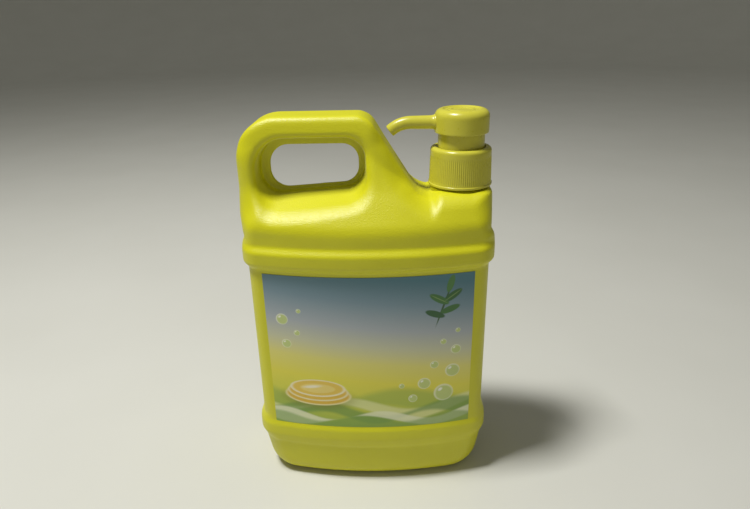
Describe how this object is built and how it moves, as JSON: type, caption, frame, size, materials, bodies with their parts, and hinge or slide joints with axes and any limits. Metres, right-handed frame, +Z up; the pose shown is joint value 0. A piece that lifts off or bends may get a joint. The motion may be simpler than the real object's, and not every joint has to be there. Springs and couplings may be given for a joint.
{
  "type": "dish soap bottle",
  "caption": "Yellow dish soap jug with a moulded grip handle at one side and a lotion pump screwed to the neck at the other, its head locked down; labels front and back.",
  "frame": {"origin": "middle of the bottle's base, on the surface it stands on", "axes": "+Z up; +X towards the pump, -X towards the handle; the front label faces -Y"},
  "size_m": [0.1708, 0.092, 0.2713],
  "materials": {
    "bottle_plastic": "satin blow-moulded polyethylene, lemon yellow, fine grain",
    "pump_plastic": "moulded polypropylene, pale yellow, semi gloss",
    "label_film": "printed film label, satin",
    "natural_plastic": "natural polypropylene, slightly cloudy",
    "soft_seal": "soft white polyethylene",
    "spring_steel": "drawn stainless steel"
  },
  "bodies": {
    "jug": {"bottle": "bottle_plastic", "front_label": "label_film", "back_label": "label_film"},
    "pump": {"pump_housing": "natural_plastic", "neck_gasket": "soft_seal", "lock_ring": "pump_plastic", "dip_tube": "natural_plastic", "return_spring": "spring_steel"},
    "closure": {"closure_collar": "pump_plastic"},
    "plunger": {"piston": "soft_seal"},
    "actuator": {"pump_head": "pump_plastic", "stem": "natural_plastic"},
    "inlet_ball": {"check_ball": "spring_steel"}
  },
  "joints": [
    {"name": "pump_lift_out", "type": "slide", "parent": "jug", "child": "pump", "axis": [0, 0, 1], "range_m": [0, 0.245]},
    {"name": "closure_turn", "type": "hinge", "parent": "pump", "child": "closure", "pos_m": [0.0631, 0, 0.234], "axis": [0, 0, 1], "range_deg": [0, 540]},
    {"name": "pump_stroke", "type": "slide", "parent": "pump", "child": "plunger", "axis": [0, 0, 1], "range_m": [0, 0.02], "deforming": ["return_spring"]},
    {"name": "head_turn", "type": "hinge", "parent": "plunger", "child": "actuator", "pos_m": [0.0631, 0, 0.26], "axis": [0, 0, 1], "continuous": true},
    {"name": "inlet_ball_lift", "type": "slide", "parent": "pump", "child": "inlet_ball", "axis": [0, 0, 1], "range_m": [0, 0.002]}
  ]
}
